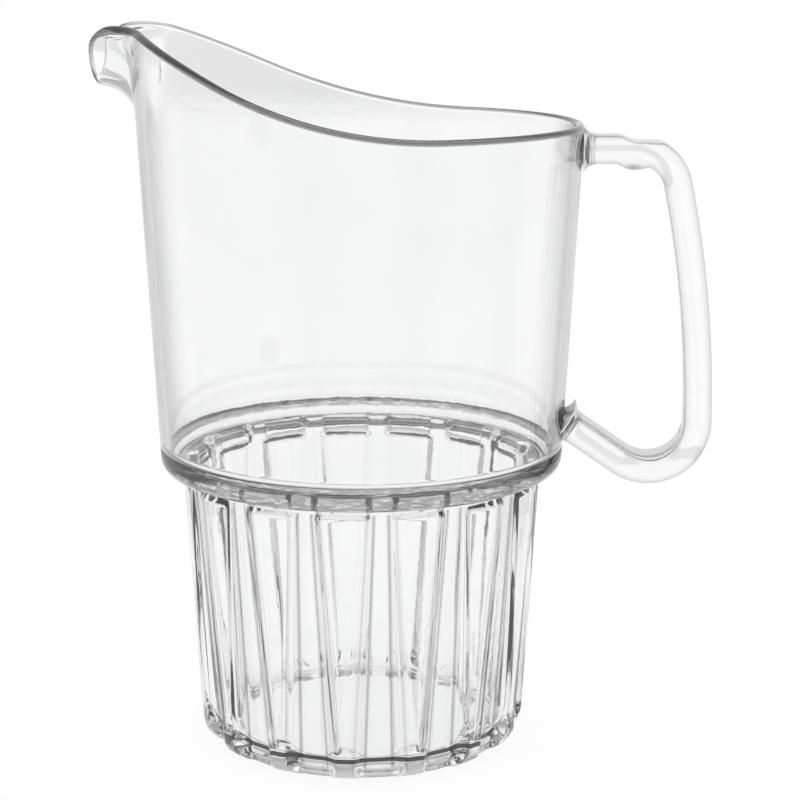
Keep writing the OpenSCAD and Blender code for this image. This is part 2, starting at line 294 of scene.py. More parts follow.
def turn_up(bm, columns):
    """Spins the whole wire once round the axis and closes its seam and poles."""
    bmesh.ops.spin(bm, geom=bm.verts[:] + bm.edges[:], cent=(0, 0, 0), axis=(0, 0, 1), dvec=(0, 0, 0),
                   angle=2.0 * pi, steps=columns, use_merge=True, use_normal_flip=False, use_duplicate=False)
    bmesh.ops.remove_doubles(bm, verts=bm.verts[:], dist=WELD)


def keep_piece(bm, name, material, nodes):
    """Turns a finished bmesh into a piece that rides on the body and stands for its CAD nodes."""
    bmesh.ops.remove_doubles(bm, verts=bm.verts[:], dist=WELD)
    bmesh.ops.recalc_face_normals(bm, faces=bm.faces[:])
    if any(len(e.link_faces) != 2 for e in bm.edges):
        raise RuntimeError(name + " is not closed")
    mesh = bpy.data.meshes.new(name)
    bm.to_mesh(mesh)
    bm.free()
    mesh.shade_smooth()
    mesh.materials.append(material)
    piece = bpy.data.objects.new(name, mesh)
    bpy.context.scene.collection.objects.link(piece)
    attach(piece, "root")
    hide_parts(*nodes)


class RimLine:
    """The rim seen from the side: level stretch, sweep, straight run and nose of the lip."""

    def __init__(self, b, s):
        self.level, self.slope, self.sweep, self.nose_r = b.rim_z, b.slope, b.sweep, s.nose
        self.nose = (s.lip_x + s.nose, s.lip_z - s.nose)
        self.top = (self.nose[0] + s.nose * sin(b.slope), self.nose[1] + s.nose * cos(b.slope))
        turn_x = self.top[0] + (self.top[1] - b.rim_z) / tan(b.slope)
        run = b.sweep * tan(b.slope / 2.0)
        self.foot_x = turn_x - run * cos(b.slope)
        self.end_x = turn_x + run

    def height(self, x):
        """Height of the rim at x."""
        if x >= self.end_x:
            return self.level
        if x >= self.foot_x:
            return self.level + self.sweep - sqrt(self.sweep ** 2 - (self.end_x - x) ** 2)
        if x >= self.top[0]:
            return self.top[1] - (x - self.top[0]) * tan(self.slope)
        return self.nose[1] + sqrt(max(0.0, self.nose_r ** 2 - (x - self.nose[0]) ** 2))


class WallSheet:
    """Middle surface of barrel and spout, in columns from spout to handle and rows from foot to rim."""

    # Last columns on the round of the trough, on its side and on the stretch of wall beside it.
    ROUND, SIDE, NEAR = 16, 20, 32
    # Share of their even angle that those columns take up, and share of the height where they draw in.
    SQUEEZE, DRAW_IN = 0.66, 0.25
    # Power that crowds the rows towards the rim.
    CROWD = 1.25
    # Step up a column in metres, and halvings that find the place where it ends.
    STEP, HALVINGS = 0.001, 40
    # Softening of the fold: columns beyond that stretch, reach against the fold, passes and pull of each.
    BEYOND, REACH, PASSES, PULL = 14, 2.5, 36, 0.6
    # Column where the painted shade of the lip turns into that of the rim, and the columns that this takes.
    TONE_FROM, TONE_OVER = 6, 10
    # Share of the way over the rounded rim where its painted shade has gone, and the share in which it goes.
    TONE_GONE, TONE_FADE = 0.95, 0.3

    def __init__(self, b, s):
        self.b, self.s, self.rim = b, s, RimLine(b, s)
        self.cap = b.wall / 2.0
        self.half = s.half - self.cap
        self.hub = s.throat + s.half
        self.throat_z = s.lip_z - s.depth - s.throat
        self.near = 2.0 * pi * self.NEAR / b.columns * self.SQUEEZE
        x = -sqrt(b.rim_r ** 2 - s.half ** 2)
        self.reach = hypot(x - s.lip_x, self.rim.height(x) - self.throat_z)
        self.count = b.columns // 2
        self.folds = []
        lines = [self.line(m) for m in range(self.count + 1)]
        shares = [1.0 - (1.0 - i / b.rows) ** self.CROWD for i in range(b.rows + 1)]
        self.grid = [[self.along(line, t) for t in shares] for line in lines]
        self.soften()

    def section(self, m):
        """Sideways place of column m at the spout and, on the trough, its distance from the throat."""
        if m <= self.ROUND:
            w = 0.5 * pi * m / self.ROUND
            return self.half * sin(w), self.hub - self.half * cos(w)
        lean = self.s.flare * (self.reach - self.hub)
        if m <= self.SIDE:
            k = (m - self.ROUND) / (self.SIDE - self.ROUND)
            return self.half + lean * k, mix(self.hub, self.reach, k)
        far = (self.b.rim_r - self.cap) * sin(self.near)
        return mix(self.half + lean, far, (m - self.SIDE) / (self.NEAR - self.SIDE)), None

    def on_cone(self, m, z):
        """Point of column m on the cone at level z."""
        b = self.b
        r = barrel_radius(b, z) - self.cap
        even = 2.0 * pi * m / b.columns
        low = mix(b.foot_z, b.rim_z, self.DRAW_IN)
        w = ease((z - low) / (self.throat_z - low))
        if m > self.NEAR:
            a = mix(even, mix(self.near, pi, (m - self.NEAR) / (self.count - self.NEAR)), w)
            return Vector((-r * cos(a), r * sin(a), z))
        y = mix(r * sin(even), self.section(m)[0], w)
        return Vector((-sqrt(r * r - y * y), y, z))

    def climb(self, curve, stop, start, end, step):
        """Points of a curve from start until it ends or meets its stop, with the last point exact."""
        points, t = [], start
        while t < end and not stop(curve(t)):
            points.append(curve(t))
            t += step
        good, bad = max(start, t - step), min(t, end)
        if stop(curve(bad)):
            for _ in range(self.HALVINGS):
                middle = (good + bad) / 2.0
                good, bad = (good, middle) if stop(curve(middle)) else (middle, bad)
        else:
            good = bad
        points.append(curve(good))
        return points

    def line(self, m):
        """Points up column m from the foot to the rim."""
        b, s = self.b, self.s
        top = s.lip_z + s.nose
        y, rho = self.section(m) if m <= self.NEAR else (None, None)

        def wall(z):
            return self.on_cone(m, z)

        def trough(a):
            return Vector((s.lip_x + rho * cos(a), y, self.throat_z + rho * sin(a)))

        def over_rim(p):
            return p.z > self.rim.height(p.x)

        def at_trough(p):
            return p.z > self.throat_z and hypot(p.x - s.lip_x, p.z - self.throat_z) > rho or over_rim(p)

        if rho is None:
            return self.climb(wall, over_rim, b.foot_z, top, self.STEP)
        points = self.climb(wall, at_trough, b.foot_z, top, self.STEP)
        self.folds.append(points[-1].copy())
        start = atan2(points[-1].z - self.throat_z, points[-1].x - s.lip_x)
        return points + self.climb(trough, over_rim, start, 0.5 * pi, self.STEP / 2.0 / rho)[1:]

    def along(self, points, t):
        """Point at share t of a line, stopping short of the rim by the radius of its edge."""
        run = [0.0]
        for p, q in zip(points, points[1:]):
            run.append(run[-1] + (q - p).length)
        goal = t * (run[-1] - self.cap)
        for i in range(len(run) - 1):
            if run[i + 1] >= goal:
                span = run[i + 1] - run[i]
                return mix(points[i], points[i + 1], (goal - run[i]) / span if span else 0.0)

    def look(self, m, i):
        """Grid point, with the columns mirrored past the spout and past the handle."""
        if m < 0 or m > self.count:
            p = self.grid[-m if m < 0 else 2 * self.count - m][i]
            return Vector((p.x, -p.y, p.z))
        return self.grid[m][i]

    def soften(self):
        """Rounds the fold where the trough leaves the wall."""
        s, last = self.s, self.b.rows
        pull = {}
        for m in range(self.NEAR + self.BEYOND):
            # The fold lies in the upper two thirds of the rows.
            for i in range(last // 3, last + 1):
                near = min((self.grid[m][i] - f).length for f in self.folds)
                if near < self.REACH * s.fold:
                    pull[m, i] = self.PULL * exp(-(near / s.fold) ** 2)
        for _ in range(self.PASSES):
            new = {}
            for (m, i), w in pull.items():
                beside = [self.look(m - 1, i), self.look(m + 1, i)]
                if i < last:
                    beside += [self.look(m, i - 1), self.look(m, i + 1)]
                new[m, i] = mix(self.grid[m][i], sum(beside, Vector()) / len(beside), w)
            for (m, i), p in new.items():
                self.grid[m][i] = p

    def skin(self, m, i, w):
        """Point at column m and row i; w runs from nought outside, over the rounded rim, to one inside."""
        up = self.look(m, min(i + 1, self.b.rows)) - self.look(m, max(i - 1, 0))
        out = up.cross(self.look(m + 1, i) - self.look(m - 1, i)).normalized()
        up = (up - out * up.dot(out)).normalized()
        return self.grid[m][i] + (out * cos(w * pi) + up * sin(w * pi)) * self.cap

    def tone(self, m, w):
        """Painted shade of the rounded rim at column m; w runs as in skin."""
        strength = mix(self.b.lip_painted_shade, self.b.rim_painted_shade, ease((m - self.TONE_FROM) / self.TONE_OVER))
        return strength * ease((self.TONE_GONE - w) / self.TONE_FADE)


class PITCHER_OT_barrel(bpy.types.Operator):
    """Make the barrel with its swept rim and pouring spout"""

    bl_idname = "pitcher.make_barrel"
    bl_label = "Barrel and Spout"
    bl_options = {"REGISTER", "UNDO"}

    def execute(self, context):
        p = context.scene.pitcher
        b = p.barrel
        sheet = WallSheet(b, p.spout)
        inner = b.foot_r - b.wall
        bm = bmesh.new()
        # A plain ring, one unit high, has the rows and columns of the sheet, and is then laid onto it.
        spots = [(b.foot_r, 0), (b.foot_r, 1), (inner, 1), (inner, 0)]
        out_edge, rim_edge, in_edge, _ = wire(bm, spots, True)
        bmesh.ops.subdivide_edges(bm, edges=[out_edge, in_edge], cuts=b.rows - 1)
        bmesh.ops.subdivide_edges(bm, edges=[rim_edge], cuts=RIM_CUTS)
        turn_up(bm, b.columns)
        # This layer carries the painted shade of the rounded rim.
        tone = bm.verts.layers.float.new("painted_edge_shade")
        for v in bm.verts:
            angle = atan2(v.co.y, -v.co.x)
            m = round(abs(angle) * b.columns / (2.0 * pi))
            i = round(v.co.z * b.rows)
            w = (b.foot_r - hypot(v.co.x, v.co.y)) / b.wall
            spot = sheet.skin(m, i, w if i == b.rows else round(w))
            v[tone] = sheet.tone(m, w) if i == b.rows else 0.0
            v.co = (spot.x, spot.y if angle >= 0 else -spot.y, spot.z if i else b.foot_z + GAP)
        keep_piece(bm, "barrel_wall", barrel_plastic(p.look), ["barrel", "pouring_spout"])
        return {"FINISHED"}


class PITCHER_OT_shoulder(bpy.types.Operator):
    """Make the stepped shoulder under the barrel"""

    bl_idname = "pitcher.make_shoulder"
    bl_label = "Shoulder Step"
    bl_options = {"REGISTER", "UNDO"}

    def execute(self, context):
        p = context.scene.pitcher
        b, s = p.barrel, p.base
        bore = s.neck_r + GAP
        bm = bmesh.new()
        spots = [
            (bore, s.step_z), (barrel_radius(b, s.step_z), s.step_z), (b.foot_r, b.foot_z - GAP),
            (b.foot_r - b.wall, b.foot_z - GAP), (barrel_radius(b, s.ledge_z) - b.wall, s.ledge_z),
            (bore, s.ledge_z),
        ]
        wire(bm, spots, True)
        for corner, offset in ((1, s.step_round), (4, s.ledge_round), (0, s.edge_round), (5, s.edge_round)):
            round_off(bm, spots[corner], offset, segments=8)
        turn_up(bm, b.columns)
        streak = bm.verts.layers.float.new("streak")
        # Strength of the painted shade streaks: full on the outside of the shoulder, weaker on the ledge.
        for v in bm.verts:
            v[streak] = 1.0 if hypot(v.co.x, v.co.y) > b.foot_r - s.step_round else s.ledge_streak
        keep_piece(bm, "shoulder_step", shoulder_plastic(p.look), ["shoulder_ring"])
        return {"FINISHED"}


class FluteShape:
    """Radius of the fluted wall, inside and outside, and the places of its columns."""

    # Columns from the middle of a groove to that of a lobe, to the edge of its floor and to its brink.
    HALF, FLOOR, BRINK = 10, 3, 7
    # Share of the depth by which the columns at those two edges are rounded off.
    SOFT = 0.035
    # Reach of that rounding inside against outside, and how many times it has to fit into floor and flank.
    LINE_INSIDE, LINE_FITS = 2.0, 2.5
    # Height of the worn foot against that of the toes.
    WORN = 1.5

    def __init__(self, p):
        self.s, self.wall = p.base, p.barrel.wall
        s = self.s
        self.foot_r = s.neck_r - s.lean
        self.top_z = s.step_z - s.flute_gap
        self.flank = (s.flute_w - s.flute_floor) / 2.0 / s.flute_d
        self.extra = self.wall * tan(atan(self.flank) / 2.0)

    def crown(self, z):
        """Outside radius of the lobes between the grooves, before the roundings of foot and top."""
        return min(self.s.neck_r, self.foot_r + z * self.s.lean / self.s.step_z)

    def scale(self, z):
        """Width of a groove at level z against its width at the foot."""
        return 1.0 - (1.0 - self.s.flute_top) * z / self.top_z

    def depth(self, z):
        """Depth of a groove at level z."""
        return self.s.flute_d * (1.0 - (1.0 - self.s.flute_rise) * z / self.top_z)

    def is_inner(self, r, z):
        """Whether a point of the plain section lies on the inside of the wall or on the mouth."""
        s = self.s
        if z > s.step_z:
            return True
        land_r = s.neck_r - s.lead_land + WELD
        return z > s.floor_z - WELD and r < min(land_r, self.crown(z) - self.wall / 3.0)

    def place(self, step, z, inset):
        """Angle from the middle of a flute of the column that is step columns away, and how deep it lies."""
        s = self.s
        k = self.scale(z)
        r = self.crown(z) - inset
        half_floor = (s.flute_floor / 2.0 + (self.extra if inset else 0.0)) * k
        floor = half_floor / (r - self.depth(z))
        brink = (half_floor + self.flank * s.flute_d * k) / r
        if not inset:
            rise = clamp(1.0 + (z - self.top_z) / s.lobe_corner)
            brink += s.lobe_corner * (1.0 - sqrt(1.0 - rise * rise)) / r
        line = s.flute_line * (self.LINE_INSIDE if inset else 1.0) / r
        near = min(line, (brink - floor) / self.LINE_FITS, floor / self.LINE_FITS)
        edge = pi / s.flutes
        angles = (
            0.0, floor / 2.0, floor - near, floor, floor + near, (floor + brink) / 2.0, brink - near, brink,
            brink + min(near, (edge - brink) / 3.0), mix(brink, edge, 0.6), edge,
        )
        angle = angles[abs(step)]
        deep = clamp((brink - angle) / (brink - floor))
        if abs(step) in (self.FLOOR, self.BRINK):
            deep = mix(self.SOFT, 1.0 - self.SOFT, deep)
        return angle, deep

    def outside(self, r, z, deep):
        """Radius outside: lobes with rounded tops stand out from grooves that run up into the plain neck."""
        s = self.s
        sunk = self.depth(min(z, self.top_z)) + s.toe_d * max(0.0, 1.0 - z / s.toe_h)
        past = clamp(1.0 + (z - self.top_z) / s.lobe_round)
        return min(r, self.crown(min(z, self.top_z)) - sunk * mix(1.0, deep, 1.0 - past * past))

    def inside(self, r, z, deep):
        """Radius inside, where a ridge stands behind each groove."""
        ridge = self.crown(z) - self.wall
        return min(r, mix(max(r, ridge), ridge - self.depth(z), deep))

    def tone(self, n, z):
        """Painted shade along the edges of a groove and on its toe, n columns from its middle."""
        s = self.s
        if z < s.toe_h:
            return s.toe_painted_shade if n <= self.FLOOR else 0.0
        if z > self.top_z:
            return 0.0
        return {self.FLOOR: s.line_painted_shade, self.BRINK: s.line_painted_shade / 2.0}.get(n, 0.0)

    def scuff(self, n, z):
        """Wear of the lobes at the foot, n columns from the middle of a groove."""
        return ease(self.WORN - z / self.s.toe_h) if n > self.BRINK else 0.0


class PITCHER_OT_base(bpy.types.Operator):
    """Make the fluted base with its raised floor"""

    bl_idname = "pitcher.make_base"
    bl_label = "Fluted Base"
    bl_options = {"REGISTER", "UNDO"}

    def execute(self, context):
        p = context.scene.pitcher
        s = p.base
        shape = FluteShape(p)
        wall, crown = p.barrel.wall, shape.crown
        foot_z = CLEAR * s.foot_round
        lobe_z = shape.top_z - CLEAR * s.lobe_corner
        fillet_z = s.floor_z + CLEAR * s.floor_round
        mouth_r = s.neck_r - s.lead_land
        bm = bmesh.new()
        # Half a plain section, from the middle of the underside round the wall to the middle of the floor.
        spots = [
            (0.0, s.recess_z), (s.recess_r, s.recess_z), (s.recess_r, 0.0), (crown(0.0), 0.0),
            (crown(foot_z), foot_z), (crown(lobe_z), lobe_z), (crown(s.step_z), s.step_z - 2.0 * GAP),
            (s.neck_r, s.step_z - GAP), (s.neck_r, s.ledge_z), (mouth_r, s.ledge_z),
            (s.neck_r - wall, s.ledge_z - s.lead_h), (crown(fillet_z) - wall, fillet_z),
            (crown(s.floor_z) - wall, s.floor_z), (0.0, s.floor_z),
        ]
        edges = wire(bm, spots)
        # Cuts across the underside, the lobes, their tops, the lead-in, the inner wall and the floor.
        for edge, cuts in ((0, 5), (4, 28), (5, 18), (9, 3), (10, 30), (12, 6)):
            bmesh.ops.subdivide_edges(bm, edges=[edges[edge]], cuts=cuts)
        # Corner, reach and segments of each rounding.
        rounds = (
            (1, s.recess_round, 4), (2, s.ring_round, 3), (3, s.foot_round, 12), (8, s.edge_round, 2),
            (9, s.land_round, 3), (12, s.floor_round, 8),
        )
        for corner, offset, segments in rounds:
            round_off(bm, spots[corner], offset, segments)
        columns = 2 * shape.HALF * s.flutes
        turn_up(bm, columns)
        # This layer carries the painted shade along the edges of the grooves and on their toes.
        tone = bm.verts.layers.float.new("painted_edge_shade")
        scuff = bm.verts.layers.float.new("scuff")
        for v in bm.verts:
            r, z = hypot(v.co.x, v.co.y), v.co.z
            index = round(atan2(v.co.y, v.co.x) / (2.0 * pi) * columns)
            flute, step = divmod(index + shape.HALF, 2 * shape.HALF)
            step -= shape.HALF
            a = 2.0 * pi * index / columns
            if r > s.recess_r + WELD:
                inner = shape.is_inner(r, z)
                angle, deep = shape.place(step, z, wall if inner else 0.0)
                a = 2.0 * pi * flute / s.flutes + (angle if step >= 0 else -angle)
                if inner and r < mouth_r + LAND_EDGE:
                    r = shape.inside(r, z, deep)
                elif z < s.step_z - 1.5 * GAP:
                    r = shape.outside(r, z, deep)
                    v[tone] = shape.tone(abs(step), z)
                    v[scuff] = shape.scuff(abs(step), z)
            v.co.x, v.co.y = r * cos(a + s.flute_turn), r * sin(a + s.flute_turn)
        keep_piece(bm, "fluted_wall", base_plastic(p.look), ["fluted_base", "base_floor"])
        return {"FINISHED"}


def extrude_on(bm, edges, way, distance, rings):
    """Carries a ring of edges on in a straight line, and returns the last ring."""
    for _ in range(rings):
        new = bmesh.ops.extrude_edge_only(bm, edges=edges)["geom"]
        verts = [g for g in new if isinstance(g, bmesh.types.BMVert)]
        bmesh.ops.translate(bm, verts=verts, vec=way * (distance / rings))
        edges = [g for g in new if isinstance(g, bmesh.types.BMEdge) and all(v in new for v in g.verts)]
    return edges


def bend_on(bm, edges, x, z, angle, rings):
    """Carries a ring of edges on round a bend about (x, z), and returns the last ring."""
    verts = list(dict.fromkeys(v for e in edges for v in e.verts))
    out = bmesh.ops.spin(bm, geom=verts + edges, cent=(x, 0, z), axis=(0, 1, 0), dvec=(0, 0, 0), angle=angle,
                         steps=rings, use_merge=False, use_normal_flip=False, use_duplicate=False)
    return [g for g in out["geom_last"] if isinstance(g, bmesh.types.BMEdge)]


class HandleShape:
    """Middle line of the loop handle, and the forms that make its bar more than a plain one."""

    # Step in metres by which the lower arm is lengthened until it meets the wall.
    STEP = 1e-5
    # Power by which the flare of a root dies away.
    DIE_AWAY = 2.2
    # Share of half the bar's thickness below its middle, from which the swell takes hold.
    SWELL_FROM = 0.3

    def __init__(self, h, b):
        self.h = h
        self.half_t, self.half_flat = h.bar_t / 2.0, (h.bar_w - h.bar_t) / 2.0
        self.lift = h.arm_z - h.upper_r
        sweep = (self.lift - h.grip_z) / (h.grip_r - h.upper_r)
        self.grip_turn = atan2(sweep, sqrt(1.0 - sweep * sweep))
        self.bend_x = h.grip_x - h.grip_r + (h.grip_r - h.upper_r) * cos(self.grip_turn)
        self.root_x = barrel_radius(b, h.arm_z)
        self.heel_x = h.grip_x - h.lower_r
        self.heel = Vector((self.heel_x - h.lower_r * sin(h.rise), 0, h.grip_z - h.lower_r * cos(h.rise)))
        self.way = Vector((-cos(h.rise), 0, sin(h.rise)))
        self.run = 0.0
        while self.lower(self.run).x > barrel_radius(b, self.lower(self.run).z):
            self.run += self.STEP

    def lower(self, along):
        """Point of the lower arm's middle line, so far along from the heel."""
        return self.heel + self.way * along

    def root_flare(self, co):
        """How far a point of the plain bar moves out where the bar meets the wall."""
        h = self.h
        side = min(self.half_flat, max(-self.half_flat, co.y))
        if co.x < self.bend_x and co.z > self.lift:
            away = co.x - self.root_x
            middle = Vector((co.x, side, h.arm_z))
        elif co.x < self.heel.x:
            along = (co - self.heel).dot(self.way)
            away = self.run - along
            middle = Vector((self.lower(along).x, side, self.lower(along).z))
        else:
            return Vector()
        near = max(0.0, 1.0 - away / h.flare_len)
        return (co - middle) * (h.flare * near ** self.DIE_AWAY / self.half_t)

    def thumb_height(self, plain, z):
        """Height of a point with thumb rest and swell, from its plain place and its height z so far."""
        h = self.h
        past = plain.x - self.bend_x
        limit = h.arm_z + self.half_t - h.thumb_d * ease((past + h.thumb_len) / h.thumb_len)
        fade = ease((past + h.thumb_from) / h.thumb_blend)
        if z > limit and fade > 0.0:
            z = mix(z, limit + h.thumb_crown * (z - limit), fade)
        if plain.z < h.arm_z - self.SWELL_FROM * self.half_t and past < h.swell_end:
            length_share = max(0.0, 1.0 - ((past + h.swell_at) / h.swell_len) ** 2)
            width_share = max(0.0, 1.0 - (plain.y / h.swell_w) ** 4)
            z -= h.swell * (length_share * width_share)
        return z


class PITCHER_OT_handle(bpy.types.Operator):
    """Make the loop handle with its roots and thumb rest"""

    bl_idname = "pitcher.make_handle"
    bl_label = "Loop Handle"
    bl_options = {"REGISTER", "UNDO"}

    def execute(self, context):
        p = context.scene.pitcher
        h, b = p.handle, p.barrel
        shape = HandleShape(h, b)
        half_flat = shape.half_flat
        bm = bmesh.new()
        # Half a segment of turn keeps every point off the line where the ring is drawn out in width.
        half_turn = Matrix.Rotation(pi / BAR_SEGMENTS, 4, "Z")
        bmesh.ops.create_circle(bm, cap_ends=False, segments=BAR_SEGMENTS, radius=shape.half_t,
                                matrix=half_turn)
        for v in bm.verts:
            v.co.y += half_flat if v.co.y > 0 else -half_flat
        long_sides = [e for e in bm.edges if abs(e.verts[0].co.y - e.verts[1].co.y) > half_flat]
        bmesh.ops.subdivide_edges(bm, edges=long_sides, cuts=4)
        bmesh.ops.rotate(bm, verts=bm.verts[:], cent=(0, 0, 0), matrix=Matrix.Rotation(0.5 * pi, 3, "Y"))
        bmesh.ops.translate(bm, verts=bm.verts[:], vec=(shape.root_x, 0, h.arm_z))
        start = bm.edges[:]
        ahead = Vector((1, 0, 0))
        last = extrude_on(bm, start, ahead, h.flare_len, rings=7)
        last = extrude_on(bm, last, ahead, shape.bend_x - shape.root_x - h.flare_len, rings=24)
        last = bend_on(bm, last, shape.bend_x, shape.lift, 0.5 * pi - shape.grip_turn, rings=26)
        last = bend_on(bm, last, h.grip_x - h.grip_r, h.grip_z, shape.grip_turn, rings=30)
        last = bend_on(bm, last, shape.heel_x, h.grip_z, 0.5 * pi + h.rise, rings=34)
        last = extrude_on(bm, last, shape.way, shape.run - h.flare_len, rings=10)
        last = extrude_on(bm, last, shape.way, h.flare_len, rings=7)
        ends = set()
        for ring in (start, last):
            cap = bmesh.ops.contextual_create(bm, geom=ring)["faces"][0]
            ends.update(cap.verts)
            for inset in CAP_INSETS:
                bmesh.ops.inset_region(bm, faces=[cap], thickness=inset, depth=0.0, use_even_offset=True)
                ends.update(cap.verts)
            ends.update(bmesh.ops.poke(bm, faces=[cap])["verts"])
        for v in bm.verts:
            plain = v.co.copy()
            v.co += shape.root_flare(plain)
            if plain.z > shape.lift:
                v.co.z = shape.thumb_height(plain, v.co.z)
        for v in ends:
            r = barrel_radius(b, v.co.z) + GAP
            v.co.x = sqrt(r * r - v.co.y ** 2)
        keep_piece(bm, "loop_handle", handle_plastic(p.look), ["handle"])
        return {"FINISHED"}


def empty_tree(owner):
    """Turns on the nodes of a material or world, and returns its empty tree."""
    owner.use_nodes = True
    owner.node_tree.nodes.clear()
    return owner.node_tree


def feed(tree, socket, value):
    """Links an input to the socket given, or sets it to the plain value given."""
    if isinstance(value, bpy.types.NodeSocket):
        tree.links.new(value, socket)
    else:
        socket.default_value = value


def node(tree, kind, **settings):
    """A new node with its settings, and with a value or a link for each named input."""
    new = tree.nodes.new(kind)
    for key, value in settings.items():
        if hasattr(new, key):
            setattr(new, key, value)
        else:
            feed(tree, new.inputs[key.replace("_", " ")], value)
    return new


def maths(tree, operation, *values):
    """Result of a Math node."""
    new = node(tree, "ShaderNodeMath", operation=operation)
    for socket, value in zip(new.inputs, values):
        feed(tree, socket, value)
    return new.outputs["Value"]


def spread(tree, value, low, high, **settings):
    """Result of a Map Range node that takes low and high to nought and one, or to what its settings say."""
    new = node(tree, "ShaderNodeMapRange", Value=value, From_Min=low, From_Max=high, **settings)
    return new.outputs["Result"]


def noise(tree, place, scale, detail, roughness):
    """Value of a noise pattern."""
    new = node(tree, "ShaderNodeTexNoise", Vector=place, Scale=scale, Detail=detail, Roughness=roughness)
    return new.outputs["Fac"]


def blend(tree, kind, factor, first, second):
    """Result of a Mix node. Its sockets go by number, because they have the same names for every kind."""
    new = node(tree, "ShaderNodeMix", data_type=kind, Factor=factor)
    a, b, result = {"FLOAT": (2, 3, 0), "RGBA": (6, 7, 2)}[kind]
    feed(tree, new.inputs[a], first)
    feed(tree, new.inputs[b], second)
    return new.outputs[result]


def attribute(tree, name):
    """Value of an attribute of the mesh, or nought where a mesh has none of that name."""
    return node(tree, "ShaderNodeAttribute", attribute_name=name).outputs["Fac"]


def shader_group(name, inputs, outputs):
    """A shader node group with named sockets, and whether it is a new one that is still empty."""
    if name in bpy.data.node_groups:
        return bpy.data.node_groups[name], False
    group = bpy.data.node_groups.new(name, "ShaderNodeTree")
    for label, kind, value in inputs:
        socket = group.interface.new_socket(name=label, in_out="INPUT", socket_type=kind)
        if value is not None:
            socket.default_value = value
    for label, kind in outputs:
        group.interface.new_socket(name=label, in_out="OUTPUT", socket_type=kind)
    return group, True


def moulding_ripple():
    """Slow ripple of a moulded skin, with the finer orange peel on top of it."""
    group, fresh = shader_group("moulding_ripple", [
        ("Vector", "NodeSocketVector", None), ("Ripple Scale", "NodeSocketFloat", 40.0),
        ("Peel Scale", "NodeSocketFloat", 420.0), ("Peel Share", "NodeSocketFloat", 0.12),
    ], [("Height", "NodeSocketFloat")])
    if fresh:
        given = node(group, "NodeGroupInput").outputs
        slow = noise(group, given["Vector"], given["Ripple Scale"], detail=2.0, roughness=0.4)
        fine = noise(group, given["Vector"], given["Peel Scale"], detail=1.0, roughness=0.5)
        node(group, "NodeGroupOutput", Height=maths(group, "MULTIPLY_ADD", fine, given["Peel Share"], slow))
    return group


def washing_wear():
    """Faint haze in patches and fine scuffs, as on bar ware that is washed often."""
    group, fresh = shader_group("washing_wear", [
        ("Vector", "NodeSocketVector", None), ("Patch Scale", "NodeSocketFloat", 28.0),
        ("Scuff Scale", "NodeSocketFloat", 900.0), ("Clean Colour", "NodeSocketColor", (1, 1, 1, 1)),
        ("Haze Colour", "NodeSocketColor", (0.9, 0.9, 0.9, 1)), ("Clean Roughness", "NodeSocketFloat", 0.015),
        ("Worn Roughness", "NodeSocketFloat", 0.07),
    ], [("Colour", "NodeSocketColor"), ("Roughness", "NodeSocketFloat")])
    if fresh:
        given = node(group, "NodeGroupInput").outputs
        patches = noise(group, given["Vector"], given["Patch Scale"], detail=3.0, roughness=0.55)
        patches = spread(group, patches, low=0.48, high=0.78)
        scuffs = noise(group, given["Vector"], given["Scuff Scale"], detail=2.0, roughness=0.7)
        scuffs = spread(group, scuffs, low=0.56, high=0.8)
        worn = maths(group, "MULTIPLY", patches, scuffs)
        rough = blend(group, "FLOAT", worn, given["Clean Roughness"], given["Worn Roughness"])
        tint = blend(group, "RGBA", patches, given["Clean Colour"], given["Haze Colour"])
        node(group, "NodeGroupOutput", Colour=tint, Roughness=rough)
    return group


def painted_shade_streaks():
    """Long streaks round the part, which mask the painted shade on the thick shoulder."""
    group, fresh = shader_group("painted_shade_streaks", [
        ("Vector", "NodeSocketVector", None), ("Scale", "NodeSocketFloat", 280.0),
        ("Amount", "NodeSocketFloat", 1.0),
    ], [("Mask", "NodeSocketFloat")])
    if fresh:
        given = node(group, "NodeGroupInput").outputs
        flat = node(group, "ShaderNodeMapping", Vector=given["Vector"], Scale=(1.0, 1.0, 5.0))
        streaks = noise(group, flat.outputs["Vector"], given["Scale"], detail=3.0, roughness=0.6)
        streaks = spread(group, streaks, low=0.2, high=0.52)
        node(group, "NodeGroupOutput", Mask=maths(group, "MULTIPLY", streaks, given["Amount"]))
    return group


